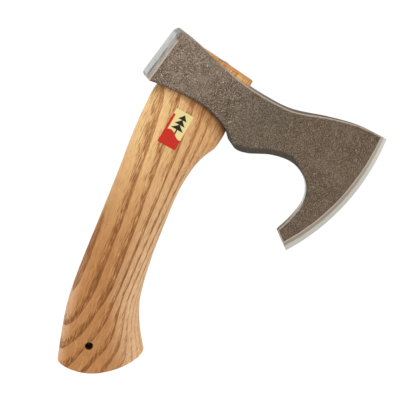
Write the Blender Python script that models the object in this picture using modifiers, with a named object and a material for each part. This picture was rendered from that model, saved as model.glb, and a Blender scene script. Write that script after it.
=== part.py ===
"""Carving hatchet: a forged bearded head on an ash handle, held by a wooden and a steel wedge.

Metres, +Z up the handle towards the head, +X from the poll to the cutting edge. The XZ plane is
the hatchet's plane of symmetry, and the origin is the middle of the grip.
"""

import math

import bmesh
import bpy
from mathutils import Matrix, Vector

MM = 0.001

# The head's own frame: U runs from the poll to the edge, W up through the eye. It is pitched
# forward on the handle, and its origin is the middle of the eye.
HEAD_X = 12.3 * MM
HEAD_Z = 98.5 * MM
HEAD_PITCH = math.radians(13.0)

# Head.
POLL_U = -36.6 * MM
POLL_LEAN = 1.3 * MM
POLL_CHAMFER = 3.3 * MM
POLL_TOP_W = 16.7 * MM
POLL_BOTTOM_W = -20.6 * MM
CHEEK_HALF = 14.6 * MM
POLL_HALF = 12.3 * MM
BLANK_HALF = 30 * MM
EDGE_CENTRE_U = -9.1 * MM
EDGE_CENTRE_W = -1.8 * MM
EDGE_RADIUS = 140 * MM
EDGE_HALF = 0.15 * MM
BEVEL_WIDTH = 6.4 * MM
BEVEL_HALF = 1.8 * MM
DISC_STEPS = 144
EDGE_BREAK = 0.7 * MM

# Eye, which opens towards the handle, and the tenon that fills it.
EYE_BACK_U = -25.7 * MM
EYE_TOP_FRONT_U = 26.8 * MM
EYE_FOOT_FRONT_U = 30.4 * MM
EYE_TOP_HALF_WIDTH = 10.4 * MM
EYE_FOOT_HALF_WIDTH = 10.9 * MM
FIT_GAP = 0.3 * MM
TENON_TOP_W = 15.0 * MM
TENON_FOOT_W = -21.8 * MM

# Handle.
SECTION_POWER = 2.3
SECTION_POINTS = 32
RINGS_PER_STATION = 3
BUTT_ROUND = 2.5 * MM
LANYARD_X = 2.1 * MM
LANYARD_Z = -97.8 * MM
LANYARD_RADIUS = 2.5 * MM

# Wedges, in the head's frame.
KERF_TOP_W = 30 * MM
KERF_REACH = 35 * MM
KERF_TOP_HALF = 4.8 * MM
KERF_FOOT_HALF = 1.1 * MM
KERF_FOOT_W = -12.0 * MM
WEDGE_PROUD = 0.4 * MM
STEEL_U = 3.0 * MM
STEEL_TURN = math.radians(55)
STEEL_HALF_WIDTH = 6.5 * MM
STEEL_TOP_HALF = 1.6 * MM
STEEL_FOOT_HALF = 0.4 * MM
STEEL_FOOT_W = -6.0 * MM
STEEL_PROUD = 0.7 * MM

# Label, on the -Y side of the handle.
LABEL_X = 2.9 * MM
LABEL_Z = 61.9 * MM
LABEL_TILT = math.radians(9.5)
LABEL_WIDTH = 13.0 * MM
LABEL_HEIGHT = 25.0 * MM
LABEL_COLUMNS = 8
LABEL_ROWS = 12
LABEL_THICKNESS = 0.15 * MM

# Side outline of the head in its own frame, poll first and clockwise along the top:
# U, W and whether the outline has a corner there. The edge itself is cut by the bevel disc.
HEAD_OUTLINE = [
    (POLL_U + POLL_LEAN, POLL_TOP_W - 0.8 * POLL_CHAMFER, True),
    (POLL_U + POLL_LEAN + POLL_CHAMFER, POLL_TOP_W, True),
    (-16 * MM, 15.1 * MM, False),
    (4 * MM, 12.6 * MM, False),
    (24 * MM, 10.9 * MM, False),
    (45 * MM, 11.6 * MM, False),
    (62 * MM, 14.3 * MM, False),
    (84 * MM, 23.2 * MM, False),
    (104 * MM, 29.6 * MM, False),
    (124 * MM, 32.4 * MM, True),
    (145 * MM, 34.6 * MM, True),
    (145 * MM, -88 * MM, True),
    (114.3 * MM, -68.6 * MM, True),
    (99.9 * MM, -59.5 * MM, True),
    (102.7 * MM, -46 * MM, False),
    (102.8 * MM, -32 * MM, False),
    (95.5 * MM, -20.8 * MM, False),
    (81 * MM, -15.4 * MM, False),
    (65 * MM, -18.2 * MM, False),
    (49.5 * MM, -26.0 * MM, False),
    (39.5 * MM, -27.6 * MM, False),
    (32.0 * MM, -22.6 * MM, False),
    (18.5 * MM, -17.0 * MM, False),
    (2.5 * MM, -14.7 * MM, False),
    (-16 * MM, -16.8 * MM, False),
    (POLL_U + POLL_CHAMFER, POLL_BOTTOM_W, True),
    (POLL_U, POLL_BOTTOM_W + 0.3 * POLL_CHAMFER, True),
]

# Top view of the head on its +Y side: U, half thickness and whether there is a corner.
HEAD_PLAN = [
    (POLL_U - POLL_LEAN, POLL_HALF - 0.8 * POLL_CHAMFER, True),
    (POLL_U + POLL_CHAMFER, POLL_HALF, True),
    (-12 * MM, CHEEK_HALF, False),
    (14 * MM, CHEEK_HALF - 0.3 * MM, False),
    (32 * MM, 11.2 * MM, False),
    (50 * MM, 7.4 * MM, False),
    (80 * MM, 4.6 * MM, False),
    (145 * MM, 2.9 * MM, True),
]

# Handle stations from the butt up, in the hatchet's frame: the back and front points of the
# section, X and Z each, and its half thickness. The first lies beyond the butt, which is cut.
HANDLE_STATIONS = [
    (-9.5 * MM, -133 * MM, 55.0 * MM, -112 * MM, 11.6 * MM),
    (-13.4 * MM, -116 * MM, 43.3 * MM, -95 * MM, 12.0 * MM),
    (-17.2 * MM, -96 * MM, 34.6 * MM, -80 * MM, 12.4 * MM),
    (-20.3 * MM, -77 * MM, 28.0 * MM, -67 * MM, 12.5 * MM),
    (-21.3 * MM, -58 * MM, 24.4 * MM, -54 * MM, 12.5 * MM),
    (-21.1 * MM, -32 * MM, 22.1 * MM, -31 * MM, 12.7 * MM),
    (-20.6 * MM, -4 * MM, 21.6 * MM, -4 * MM, 12.9 * MM),
    (-20.3 * MM, 22 * MM, 22.2 * MM, 21 * MM, 12.7 * MM),
    (-20.5 * MM, 41 * MM, 25.2 * MM, 38 * MM, 12.3 * MM),
    (-20.2 * MM, 56 * MM, 29.4 * MM, 49 * MM, 11.9 * MM),
    (-19.4 * MM, 68 * MM, 34.4 * MM, 57 * MM, 11.4 * MM),
]
# The topmost section below the head, in the head's frame: back U, front U, W, half thickness.
SHOULDER_STATION = (-25.6 * MM, 30.9 * MM, -26.0 * MM, 10.9 * MM)

# Outline of the butt in the hatchet's frame: X, Z and whether there is a corner. The points
# above it only have to pass outside the handle.
BUTT_OUTLINE = [
    (-60 * MM, 140 * MM, True),
    (-60 * MM, -111 * MM, True),
    (-17 * MM, -117.6 * MM, True),
    (-5 * MM, -119.3 * MM, False),
    (7 * MM, -117.9 * MM, False),
    (18 * MM, -112.9 * MM, False),
    (28.5 * MM, -105.4 * MM, False),
    (37.5 * MM, -96.3 * MM, False),
    (43 * MM, -87.5 * MM, True),
    (80 * MM, -70 * MM, True),
    (80 * MM, 140 * MM, True),
]


def remove_objects():
    for obj in list(bpy.data.objects):
        bpy.data.objects.remove(obj, do_unlink=True)


def make_collection(name):
    collection = bpy.data.collections.new(name)
    bpy.context.scene.collection.children.link(collection)
    return collection


def make_material(name, colour, roughness, metallic):
    material = bpy.data.materials.new(name)
    material.use_nodes = True
    shader = material.node_tree.nodes["Principled BSDF"]
    shader.inputs["Base Color"].default_value = (*colour, 1.0)
    shader.inputs["Roughness"].default_value = roughness
    shader.inputs["Metallic"].default_value = metallic
    return material


def add_object(name, data, collection, parent=None):
    obj = bpy.data.objects.new(name, data)
    collection.objects.link(obj)
    obj.parent = parent
    return obj


def hide_cutter(obj):
    obj.hide_render = True
    obj.display_type = "WIRE"
    return obj


def finish_part(obj, material, smooth_angle=35):
    obj.data.materials.clear()
    obj.data.materials.append(material)
    obj.data.shade_smooth()
    obj.data.set_sharp_from_angle(angle=math.radians(smooth_angle))


def add_boolean(obj, other, operation):
    modifier = obj.modifiers.new(f"{operation.lower()}_{other.name}", "BOOLEAN")
    modifier.operation = operation
    modifier.object = other
    modifier.solver = "EXACT"


def add_bevel(obj, width, angle, segments=1):
    modifier = obj.modifiers.new("edge_break", "BEVEL")
    modifier.width = width
    modifier.segments = segments
    modifier.limit_method = "ANGLE"
    modifier.angle_limit = math.radians(angle)
    modifier.harden_normals = False


def extrude_outline(name, outline, half_depth, rotation, collection, parent=None, resolution=5):
    """A closed flat outline given a thickness, as a mesh. Smooth points get automatic handles."""
    curve = bpy.data.curves.new(name, "CURVE")
    curve.dimensions = "2D"
    curve.fill_mode = "BOTH"
    curve.extrude = half_depth
    curve.resolution_u = resolution
    spline = curve.splines.new("BEZIER")
    spline.bezier_points.add(len(outline) - 1)
    spline.use_cyclic_u = True
    for point, (x, y, corner) in zip(spline.bezier_points, outline):
        point.co = (x, y, 0.0)
        point.handle_left_type = "VECTOR" if corner else "AUTO"
        point.handle_right_type = "VECTOR" if corner else "AUTO"
    shape = add_object(name + "_outline", curve, collection, parent)
    shape.rotation_euler = rotation
    bpy.context.view_layer.update()
    graph = bpy.context.evaluated_depsgraph_get()
    mesh = bpy.data.meshes.new_from_object(shape.evaluated_get(graph))
    body = bmesh.new()
    body.from_mesh(mesh)
    bmesh.ops.remove_doubles(body, verts=body.verts, dist=0.01 * MM)
    bmesh.ops.recalc_face_normals(body, faces=body.faces)
    body.to_mesh(mesh)
    body.free()
    obj = add_object(name, mesh, collection, parent)
    obj.matrix_basis = shape.matrix_basis.copy()
    bpy.data.objects.remove(shape, do_unlink=True)
    return obj


def section_ring(back, front, half_thickness):
    """An oval section between two points of the XZ plane, flattened by SECTION_POWER."""
    centre = (back + front) / 2
    reach = (front - back) / 2
    ring = []
    for i in range(SECTION_POINTS):
        angle = 2 * math.pi * i / SECTION_POINTS
        along = math.copysign(abs(math.cos(angle)) ** (2 / SECTION_POWER), math.cos(angle))
        across = math.copysign(abs(math.sin(angle)) ** (2 / SECTION_POWER), math.sin(angle))
        ring.append(centre + along * reach + Vector((0, across * half_thickness, 0)))
    return ring


def loft(name, rings, collection, parent=None):
    """A closed skin over rings of equally many points, with a flat face at each end."""
    body = bmesh.new()
    loops = [[body.verts.new(point) for point in ring] for ring in rings]
    for lower, upper in zip(loops, loops[1:]):
        for i in range(len(lower)):
            j = (i + 1) % len(lower)
            body.faces.new((lower[i], lower[j], upper[j], upper[i]))
    body.faces.new(loops[0])
    body.faces.new(loops[-1])
    bmesh.ops.recalc_face_normals(body, faces=body.faces)
    mesh = bpy.data.meshes.new(name)
    body.to_mesh(mesh)
    body.free()
    return add_object(name, mesh, collection, parent)


def smooth_between(rows, steps):
    """Catmull-Rom rows between the given ones, so few stations make a fair surface."""
    ends = [rows[0], *rows, rows[-1]]
    result = []
    for before, start, stop, after in zip(ends, ends[1:], ends[2:], ends[3:]):
        for k in range(steps):
            t = k / steps
            result.append([
                0.5 * (2 * b + (c - a) * t + (2 * a - 5 * b + 4 * c - d) * t * t
                       + (3 * b - a - 3 * c + d) * t ** 3)
                for a, b, c, d in zip(before, start, stop, after)
            ])
    return result + [list(rows[-1])]


def eye_station(inset, w):
    """Back U, front U, W and half width of the eye at height W, drawn in by the inset."""
    t = (TENON_TOP_W - w) / (TENON_TOP_W - TENON_FOOT_W)
    front = EYE_TOP_FRONT_U + t * (EYE_FOOT_FRONT_U - EYE_TOP_FRONT_U)
    half_width = EYE_TOP_HALF_WIDTH + t * (EYE_FOOT_HALF_WIDTH - EYE_TOP_HALF_WIDTH)
    return (EYE_BACK_U + inset, front - inset, w, half_width - inset)


def eye_ring(inset, w):
    back, front, _, half_width = eye_station(inset, w)
    return section_ring(Vector((back, 0, w)), Vector((front, 0, w)), half_width)


def head_to_world():
    return Matrix.Translation((HEAD_X, 0, HEAD_Z)) @ Matrix.Rotation(HEAD_PITCH, 4, "Y")


def bevel_disc(collection, parent):
    """A turned lens whose rim is the cutting edge, with the ground bevel just inside it."""
    profile = [
        (0, 26 * MM),
        (40 * MM, 26 * MM),
        (64 * MM, 7.4 * MM),
        (86 * MM, 4.3 * MM),
        (108 * MM, 2.9 * MM),
        (EDGE_RADIUS - BEVEL_WIDTH, BEVEL_HALF),
        (EDGE_RADIUS, EDGE_HALF),
    ]
    points = profile + [(r, -h) for r, h in reversed(profile)]
    mesh = bpy.data.meshes.new("edge_disc")
    mesh.from_pydata([(r, 0, h) for r, h in points], [(i, i + 1) for i in range(len(points) - 1)], [])
    disc = add_object("edge_disc", mesh, collection, parent)
    disc.location = (EDGE_CENTRE_U, 0, EDGE_CENTRE_W)
    disc.rotation_euler = (math.pi / 2, 0, 0)
    screw = disc.modifiers.new("turn", "SCREW")
    screw.steps = DISC_STEPS
    screw.render_steps = DISC_STEPS
    screw.use_merge_vertices = True
    screw.merge_threshold = 0.01 * MM
    return hide_cutter(disc)


def build_head(parts, cutters, frame):
    upright = (math.pi / 2, 0, 0)
    head = extrude_outline("axe_head", HEAD_OUTLINE, BLANK_HALF, upright, parts, frame)
    other_side = [(u, -y, corner) for u, y, corner in reversed(HEAD_PLAN)]
    plan = extrude_outline("head_plan", HEAD_PLAN + other_side, 100 * MM, (0, 0, 0), cutters, frame)
    add_boolean(head, hide_cutter(plan), "INTERSECT")
    add_boolean(head, bevel_disc(cutters, frame), "INTERSECT")
    add_bevel(head, EDGE_BREAK, 50)
    eye = loft("eye_cutter", [eye_ring(0, -60 * MM), eye_ring(0, 60 * MM)], cutters, frame)
    add_boolean(head, hide_cutter(eye), "DIFFERENCE")
    return head


def head_station(back_u, front_u, w, half_thickness):
    """A handle station given in the head's frame, turned into the hatchet's."""
    back = head_to_world() @ Vector((back_u, 0, w))
    front = head_to_world() @ Vector((front_u, 0, w))
    return (back.x, back.z, front.x, front.z, half_thickness)


def handle_rings():
    tenon_foot = eye_station(FIT_GAP, TENON_FOOT_W)
    stations = HANDLE_STATIONS + [head_station(*SHOULDER_STATION), head_station(*tenon_foot)]
    rings = []
    for back_x, back_z, front_x, front_z, half in smooth_between(stations, RINGS_PER_STATION):
        rings.append(section_ring(Vector((back_x, 0, back_z)), Vector((front_x, 0, front_z)), half))
    rings.append([head_to_world() @ point for point in eye_ring(FIT_GAP, TENON_TOP_W)])
    return rings


def wedge_prism(name, outline, half_length, turn, u, collection, frame):
    """A wedge outline in the head's YW plane, extruded along U and turned about W."""
    prism = extrude_outline(name, outline, half_length, (math.pi / 2, 0, math.pi / 2 + turn),
                            collection, frame)
    prism.location = (u, 0, 0)
    return prism


def wedge_outline(top_half, foot_half, top_w, foot_w, inset=0.0):
    return [
        (-top_half + inset, top_w, True),
        (top_half - inset, top_w, True),
        (foot_half - inset, foot_w + inset, True),
        (-foot_half + inset, foot_w + inset, True),
    ]


def build_handle(parts, cutters, frame):
    handle = loft("handle", handle_rings(), parts)
    butt = extrude_outline("butt_limit", BUTT_OUTLINE, BLANK_HALF, (math.pi / 2, 0, 0), cutters)
    add_boolean(handle, hide_cutter(butt), "INTERSECT")
    add_bevel(handle, BUTT_ROUND, 50, 3)
    bpy.ops.mesh.primitive_cylinder_add(vertices=24, radius=LANYARD_RADIUS, depth=60 * MM,
                                        location=(LANYARD_X, 0, LANYARD_Z),
                                        rotation=(math.pi / 2, 0, 0))
    hole = bpy.context.object
    hole.name = "lanyard_drill"
    move_to_collection(hole, cutters)
    add_boolean(handle, hide_cutter(hole), "DIFFERENCE")
    kerf = wedge_prism("kerf", wedge_outline(KERF_TOP_HALF, KERF_FOOT_HALF, KERF_TOP_W, KERF_FOOT_W),
                       KERF_REACH, 0.0, 0.0, cutters, frame)
    add_boolean(handle, hide_cutter(kerf), "DIFFERENCE")
    return handle


def move_to_collection(obj, collection):
    for owner in list(obj.users_collection):
        owner.objects.unlink(obj)
    collection.objects.link(obj)


def build_wooden_wedge(parts, cutters, frame):
    outline = wedge_outline(KERF_TOP_HALF, KERF_FOOT_HALF, KERF_TOP_W, KERF_FOOT_W, FIT_GAP)
    wedge = wedge_prism("wooden_wedge", outline, KERF_REACH, 0.0, 0.0, parts, frame)
    top = TENON_TOP_W + WEDGE_PROUD
    limit = loft("wedge_limit", [eye_ring(FIT_GAP, -40 * MM), eye_ring(FIT_GAP, top)], cutters, frame)
    add_boolean(wedge, hide_cutter(limit), "INTERSECT")
    return wedge


def build_steel_wedge(parts, cutters, frame, holders):
    """The small cross wedge, and the pocket for it in each piece that it is driven into."""
    top = TENON_TOP_W + STEEL_PROUD
    outline = wedge_outline(STEEL_TOP_HALF, STEEL_FOOT_HALF, top, STEEL_FOOT_W)
    wedge = wedge_prism("steel_wedge", outline, STEEL_HALF_WIDTH, STEEL_TURN, STEEL_U, parts, frame)
    pocket_outline = wedge_outline(STEEL_TOP_HALF, STEEL_FOOT_HALF, top, STEEL_FOOT_W, -FIT_GAP)
    pocket = wedge_prism("steel_pocket", pocket_outline, STEEL_HALF_WIDTH + FIT_GAP, STEEL_TURN,
                         STEEL_U, cutters, frame)
    for holder in holders:
        add_boolean(holder, pocket, "DIFFERENCE")
    hide_cutter(pocket)
    add_bevel(wedge, 0.3 * MM, 50)
    return wedge


def build_label(parts, handle):
    """A thin rectangle pressed onto the side of the handle."""
    body = bmesh.new()
    bmesh.ops.create_grid(body, x_segments=LABEL_COLUMNS, y_segments=LABEL_ROWS, size=0.5)
    bmesh.ops.scale(body, vec=(LABEL_WIDTH, LABEL_HEIGHT, 1), verts=body.verts)
    bmesh.ops.rotate(body, matrix=Matrix.Rotation(math.pi / 2, 3, "X"), verts=body.verts)
    bmesh.ops.rotate(body, matrix=Matrix.Rotation(LABEL_TILT, 3, "Y"), verts=body.verts)
    mesh = bpy.data.meshes.new("label")
    body.to_mesh(mesh)
    body.free()
    label = add_object("label", mesh, parts)
    label.location = (LABEL_X, -BLANK_HALF, LABEL_Z)
    press = label.modifiers.new("press_on", "SHRINKWRAP")
    press.target = handle
    press.wrap_method = "PROJECT"
    press.use_project_y = True
    press.use_positive_direction = True
    press.use_negative_direction = False
    press.offset = FIT_GAP
    skin = label.modifiers.new("paper", "SOLIDIFY")
    skin.thickness = LABEL_THICKNESS
    skin.offset = 1.0
    return label


def main():
    remove_objects()
    parts = make_collection("carving_hatchet")
    cutters = make_collection("cutters")
    frame = add_object("head_frame", None, parts)
    frame.location = (HEAD_X, 0, HEAD_Z)
    frame.rotation_euler = (0, HEAD_PITCH, 0)
    head = build_head(parts, cutters, frame)
    handle = build_handle(parts, cutters, frame)
    wooden_wedge = build_wooden_wedge(parts, cutters, frame)
    steel_wedge = build_steel_wedge(parts, cutters, frame, (handle, wooden_wedge))
    label = build_label(parts, handle)
    finish_part(head, make_material("forged_steel", (0.17, 0.125, 0.09), 0.55, 0.8))
    finish_part(handle, make_material("ash_wood", (0.62, 0.34, 0.15), 0.5, 0.0))
    finish_part(wooden_wedge, make_material("wedge_wood", (0.5, 0.22, 0.07), 0.6, 0.0))
    finish_part(steel_wedge, make_material("wedge_steel", (0.2, 0.19, 0.18), 0.5, 0.9))
    finish_part(label, make_material("label_paper", (0.8, 0.72, 0.45), 0.6, 0.0))


main()
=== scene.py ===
"""Looks of the carving hatchet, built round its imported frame.

Lengths in the tables are millimetres. The head is worked out in its own frame, where U runs from
the poll to the edge and W up through the eye, and the handle in the hatchet's frame.
"""

import math

import bmesh
import bpy
import numpy as np
from mathutils import Matrix, Vector, noise


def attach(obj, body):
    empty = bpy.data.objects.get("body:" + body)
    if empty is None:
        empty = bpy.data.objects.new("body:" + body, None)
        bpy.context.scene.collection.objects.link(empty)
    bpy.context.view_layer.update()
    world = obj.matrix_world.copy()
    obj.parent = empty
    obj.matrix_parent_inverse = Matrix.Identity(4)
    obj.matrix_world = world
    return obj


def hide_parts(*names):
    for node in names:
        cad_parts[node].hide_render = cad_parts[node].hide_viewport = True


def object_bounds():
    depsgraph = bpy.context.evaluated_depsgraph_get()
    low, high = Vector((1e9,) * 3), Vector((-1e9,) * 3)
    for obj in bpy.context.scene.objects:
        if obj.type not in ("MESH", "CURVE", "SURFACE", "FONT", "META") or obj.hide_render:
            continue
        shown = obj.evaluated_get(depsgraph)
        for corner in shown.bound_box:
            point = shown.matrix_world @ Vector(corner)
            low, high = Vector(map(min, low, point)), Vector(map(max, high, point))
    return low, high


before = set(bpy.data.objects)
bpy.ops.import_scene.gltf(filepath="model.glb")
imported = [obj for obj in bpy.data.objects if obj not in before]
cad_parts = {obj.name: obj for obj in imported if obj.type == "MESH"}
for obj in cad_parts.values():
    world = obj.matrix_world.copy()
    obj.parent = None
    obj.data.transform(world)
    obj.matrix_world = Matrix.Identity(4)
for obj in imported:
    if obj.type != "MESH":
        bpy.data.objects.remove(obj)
CAD_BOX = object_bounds()

MM = 0.001

# The hatchet hangs free, as held in a hand, this far above the floor (metres).
FLOOR_BELOW = 0.07

# Camera: where it looks, from where, how far away, and its focal length (metres and millimetres).
CAMERA_TARGET = (0.0385, 0.0, 0.020)
CAMERA_AZIMUTH = math.radians(-14)
CAMERA_ELEVATION = math.radians(12.3)
CAMERA_ROLL = math.radians(22)
CAMERA_DISTANCE = 0.9
CAMERA_LENS = 120.9

# Stage: the floor's half side, the world's light, and one soft lamp (metres and watts).
FLOOR_REACH = 6.0
WORLD_STRENGTH = 1.04
KEY_AT = (-0.55, -0.7, 0.85)
KEY_TARGET = (0.04, 0, 0.03)
KEY_SIZE = 0.5
KEY_ENERGY = 3.2

# The head's frame in the hatchet's.
HEAD_AT = (12.3, 0.0, 98.5)
HEAD_PITCH = math.radians(13.0)

# Head: the top of its side outline from the poll to the toe, and the bottom from the poll to
# the inner corner of the beard, then the heel.
HEAD_TOP = [(-32.0, 16.7), (-24, 16.3), (-14, 15.2), (4, 12.7), (24, 10.9), (45, 11.6), (62, 14.3),
            (84, 23.2), (104, 29.6), (124, 32.4), (145, 34.6)]
HEAD_BOTTOM = [(-33.3, -20.6), (-16, -16.8), (2.5, -14.7), (18.5, -17.0), (32.0, -22.6),
               (39.5, -27.6), (49.5, -26.0), (65, -18.2), (81, -15.4), (95.5, -20.8),
               (102.8, -32), (102.7, -46), (99.9, -59.5)]
HEEL = (114.3, -68.6)
# The bottom outline goes steadily forward up to this U.
BOTTOM_FORWARD_TO = 60
# Edge: the arc it lies on, its half thickness, and the last thin lip beyond it.
EDGE_CENTRE = (-9.1, -1.8)
EDGE_RADIUS = 139.96
EDGE_HALF = 0.12
EDGE_LIP = 0.02
EDGE_LIP_LEAN = -0.13
EDGE_LIP_THIN = 0.4
# Mesh rows: straight at the poll, on arcs round EDGE_CENTRE from the radius ARC_START on, closer in
# the bevel's zone. Only the outline in front of ARC_FRONT_OF is cut by the arcs.
ARC_START = 40.0
ARC_FRONT_OF = 12
ROW_STEP = 0.8
BEVEL_ZONE = 9
BEVEL_ROWS = 26
SIDE_POINTS = 84
STRIP_POINTS = 9
# Radius on the outline's edges: along the top against U, and along the bottom.
TOP_ROUND = [(-40, 2.4), (-20, 2.2), (0, 1.3), (20, 0.8), (145, 0.6)]
LOW_ROUND = 0.7
# Depths of the mesh points under an edge, as parts of its radius.
RIM_STEPS = np.array([0, 0.03, 0.1, 0.22, 0.4, 0.65, 1.0, 1.3])
# Half thickness of the head against U, and of the blade against the distance from EDGE_CENTRE.
PLAN = [(-40, 12.1), (-33.3, 12.3), (-12, 14.6), (14, 14.3), (32, 11.2), (50, 7.4), (80, 4.6), (145, 2.9)]
LENS = [(30, 40), (50, 13.5), (64, 7.6), (86, 4.4), (108, 2.95), (134, 1.8), (141, 1.6)]
PLAN_BLEND = 1.2
# Width of the ground bevel against the angle round EDGE_CENTRE, in degrees.
BEVEL = [(-32, 7.2), (-15, 6.7), (0, 6.2), (9, 5.6), (16, 4.6)]
BEVEL_HALF = 1.75
BEVEL_CURVE = (1.14, 0.14)
# Forged unevenness of the cheeks: height, size and seed of each wave, and how far it is set in.
WAVES = [(0.2, 15.0, 1), (0.1, 5.0, 2), (0.05, 1.8, 3)]
WAVE_SET_IN = 0.15
# Far away, in a mask of distances.
FAR = 9.0

# Poll: its flat face in the head's frame, and the mesh rings over the face and down the chamfer.
FACE_TOP = (-34.7, 14.9)
FACE_BOTTOM = (-36.4, -20.2)
FACE_HALF = 8.7
FACE_CORNER = 3.0
FACE_CROWN = 0.8
FACE_RINGS = (0.04, 0.15, 0.3, 0.45, 0.6, 0.72, 0.82, 0.9, 0.94, 0.97, 1.0)
CHAMFER_RINGS = (0.04, 0.12, 0.25, 0.4, 0.55, 0.7, 0.85, 0.95)
CHAMFER_BULGE = 0.2

# Eye: back U, front U at the top and at the foot, half widths there, their heights, and the cutter's gap,
# reach and points.
EYE_BACK = -25.7
EYE_FRONT = (26.8, 30.4)
EYE_HALF = (10.4, 10.9)
EYE_W = (15.0, -21.8)
EYE_GAP = 0.05
EYE_CUT_W = 60
EYE_CUT_POINTS = 120
# Above this height W the handle is inside the eye.
INSIDE_EYE_W = -14

# Handle stations from the butt up: back X and Z, front X and Z, half thickness.
STATIONS = [
    (-13.5, -115.5, 40.1, -90.4, 11.9),
    (-17.2, -96, 33.9, -80, 12.4),
    (-20.3, -77, 28.0, -67, 12.5),
    (-21.3, -58, 24.4, -54, 12.5),
    (-21.1, -32, 22.1, -31, 12.7),
    (-20.6, -4, 21.6, -4, 12.9),
    (-20.3, 22, 22.2, 21, 12.7),
    (-20.5, 41, 25.2, 38, 12.3),
    (-20.2, 56, 29.4, 49, 11.9),
    (-19.4, 68, 34.4, 57, 11.4),
]
SHOULDER = (-25.6, 30.9, -26.0, 10.9)
SECTION_POWER = 2.3
SECTION_POINTS = 168
RINGS_PER_STATION = 22
# Butt: how far it stands out of its chord, and at its back and front, how its arc is shaped, its rim's
# radius, the mesh rings over its end, and how soon the grip's rings straighten out.
BUTT_BULGE = 8.7
BUTT_ENDS = (3.8, 1.9)
BUTT_ARC = 2.1
BUTT_FULLER_FRONT = 0.2
BUTT_FRONT_DROP = 0.3
BUTT_ROUND = 1.4
BUTT_RINGS = (0.03, 0.12, 0.22, 0.32, 0.42, 0.52, 0.62, 0.71, 0.79, 0.86, 0.92, 0.965, 1.0)
BUTT_FADE_STATIONS = 1.6
BUTT_FADE_POWER = 1.5
LANYARD = (2.1, -97.8)
LANYARD_RADIUS = 2.45
LANYARD_PROFILE = [(-20, 8), (-12.6, 3.3), (-11, LANYARD_RADIUS), (11, LANYARD_RADIUS), (12.6, 3.3), (20, 8)]
# Tenon: its gap in the eye and how much more at the top, the rings up it, the rim's inset and drop
# rings, and the rings over its top.
TENON_GAP = 0.15
TENON_TAPER = 0.3
TENON_STEP = 1.2
TENON_RIM = ((0.0, 0.5), (0.12, 0.2), (0.4, 0.0))
TENON_RINGS = (0.93, 0.84, 0.74, 0.63, 0.52, 0.41, 0.3, 0.2, 0.1, 0.03)

# Kerf and steel wedge, as in the frame's solids, each as heights W and half thicknesses.
KERF = dict(top=30.0, top_half=4.8, foot=-12.0, foot_half=1.1)
KERF_REACH = 35
STEEL = dict(top=15.5, top_half=1.6, foot=-6.0, foot_half=0.4)
STEEL_U = 3.0
STEEL_TURN = math.radians(55)
STEEL_HALF_WIDTH = 6.5
POCKET_GAP = 0.15
POCKET_RISE = 8
WEDGE_GAP = 0.12
WEDGE_OVAL_GAP = 0.1
WEDGE_PROUD = 0.2

# Label: its middle, size, tilt and mesh, where it starts before it is pressed on, and its lift.
LABEL_AT = (2.9, 61.9)
LABEL_SIZE = (13.0, 25.0)
LABEL_TILT = math.radians(9.5)
LABEL_GRID = (40, 72)
LABEL_START_Y = -30.0
LABEL_LIFT = 0.04
LABEL_THICKNESS = 0.08

# Growth rings: for a height Z, the X on the near side of the dark edges of rings -4 to 6. Then the part
# of a ring's width that its dark band takes, and how dark that is, against the ring's number.
FIRST_RING = -4
RINGS = [
    (-125, [-38, -31, -24, -16.5, -5.5, 5, 13, 20, 27, 33, 39]),
    (-116, [-36, -28, -20.5, -13, -2.4, 8.1, 17, 24, 30, 36, 42]),
    (-108, [-34, -26.5, -19, -10.3, -0.6, 10, 20.8, 28, 34, 40, 46]),
    (-100, [-33, -25, -16.8, -7, 2.1, 13.2, 22.4, 31.5, 37, 42, 47]),
    (-92, [-31, -22.5, -14, -4.3, 4.4, 15.8, 23.4, 28.2, 33, 38, 43]),
    (-85, [-29, -20, -11, -1.9, 6.3, 16.2, 22.2, 26.2, 30, 34, 38]),
    (-75, [-27, -17.8, -8.9, -0.9, 8.2, 14.8, 19.8, 22.6, 26, 29, 33]),
    (-58, [-25, -15.8, -6.6, 3.2, 8.2, 12.3, 16.6, 19.8, 22.8, 26, 30]),
    (-30, [-25, -15.6, -6.4, 3, 8.7, 13.4, 17.8, 21.6, 25, 29, 33]),
    (20, [-27, -16.8, -7.4, 2, 10.2, 16.4, 21.4, 26, 30, 34, 38]),
    (50, [-27.5, -17.5, -8, 1.4, 11, 18, 23.6, 28.5, 33, 37, 41]),
    (75, [-28.5, -18.2, -8.2, 1.1, 11.2, 18.6, 24.6, 30, 35, 39, 43]),
    (85, [-30, -20, -10.1, 0, 10, 17.6, 24, 30, 35, 40, 44]),
    (120, [-32, -22, -12, -2, 7.5, 15, 21.5, 27, 32, 37, 42]),
]
RING_BAND = [(-4, 0.40), (-2, 0.44), (-1, 0.42), (0, 0.26), (1, 0.38), (2, 0.38), (3, 0.32), (6, 0.32)]
RING_DEPTH = [(-4, 0.8), (-2, 0.95), (0, 0.95), (1, 0.85), (2, 0.7), (3, 0.42), (4, 0.36), (6, 0.36)]
RING_SLANT = 0.35
NEAR_SIDE = 12

# The head frame's slopes, and the tenon's top along its height axis, in metres, for the materials.
HEAD_COS, HEAD_SIN = math.cos(HEAD_PITCH), math.sin(HEAD_PITCH)
TENON_TOP = MM * (EYE_W[0] + HEAD_AT[0] * HEAD_SIN + HEAD_AT[2] * HEAD_COS)
# The greenest U of the cheeks, and the label's spruce in parts of its width and height.
NECK_U = 56
SPRUCE = dict(u=0.56, foot=0.50, stretch=2.35, tiers=3.0)


# -------- shapes

def fair(points, steps=24):
    """A smooth polyline through the points (Catmull-Rom)."""
    p = np.array([points[0], *points, points[-1]], float)
    t = np.arange(steps)[:, None] / steps
    spans = []
    for a, b, c, d in zip(p, p[1:], p[2:], p[3:]):
        spans.append(0.5 * (2 * b + (c - a) * t + (2 * a - 5 * b + 4 * c - d) * t ** 2
                            + (3 * b - a - 3 * c + d) * t ** 3))
    return np.vstack(spans + [p[-1:]])


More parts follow.
